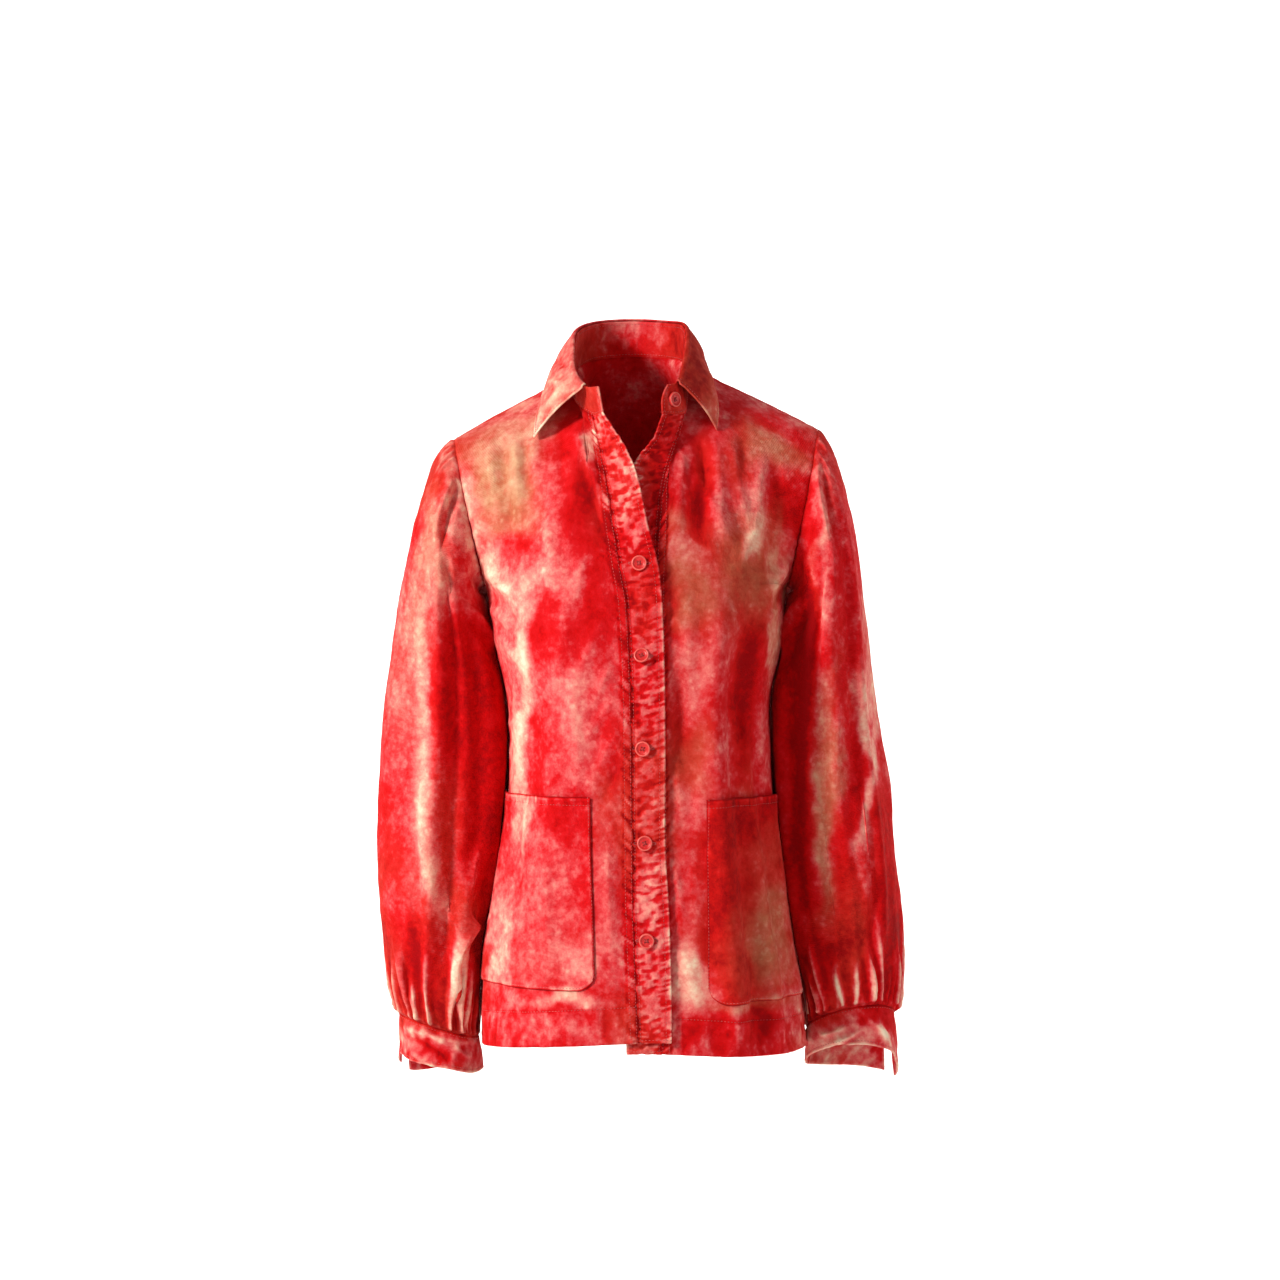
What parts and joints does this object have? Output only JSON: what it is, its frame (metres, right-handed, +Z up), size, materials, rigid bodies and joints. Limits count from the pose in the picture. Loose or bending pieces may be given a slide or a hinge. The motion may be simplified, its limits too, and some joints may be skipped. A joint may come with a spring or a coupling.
{
  "type": "button-down shirt",
  "caption": "Worn, hollow long-sleeved cotton shirt with a pointed collar, buttoned front bands, patch pockets and gathered sleeves on open cuffs.",
  "frame": {"origin": "middle of the neck, level with the higher end of the shoulder seams, where the wearer holds the shirt up", "axes": "+Z up along the neck, -Y to the front where the buttons are, +X to the wearer's left"},
  "size_m": [0.5183, 0.2436, 0.7544],
  "materials": {
    "cotton": "matt washed cotton poplin, mottled red, rose, salmon and tan",
    "button": "glossy dark red resin"
  },
  "bodies": {
    "root": {"back": "cotton", "front_right": "cotton", "front_left": "cotton", "band_right": "cotton", "band_left": "cotton", "collar_stand": "cotton", "collar_leaf": "cotton", "sleeve_right": "cotton", "sleeve_left": "cotton", "cuff_right": "cotton", "cuff_left": "cotton", "pocket_right": "cotton", "pocket_left": "cotton", "button_1": "button", "button_2": "button", "button_3": "button", "button_4": "button", "button_5": "button", "button_stand": "button", "button_cuff_right": "button", "button_cuff_left": "button"}
  },
  "joints": []
}
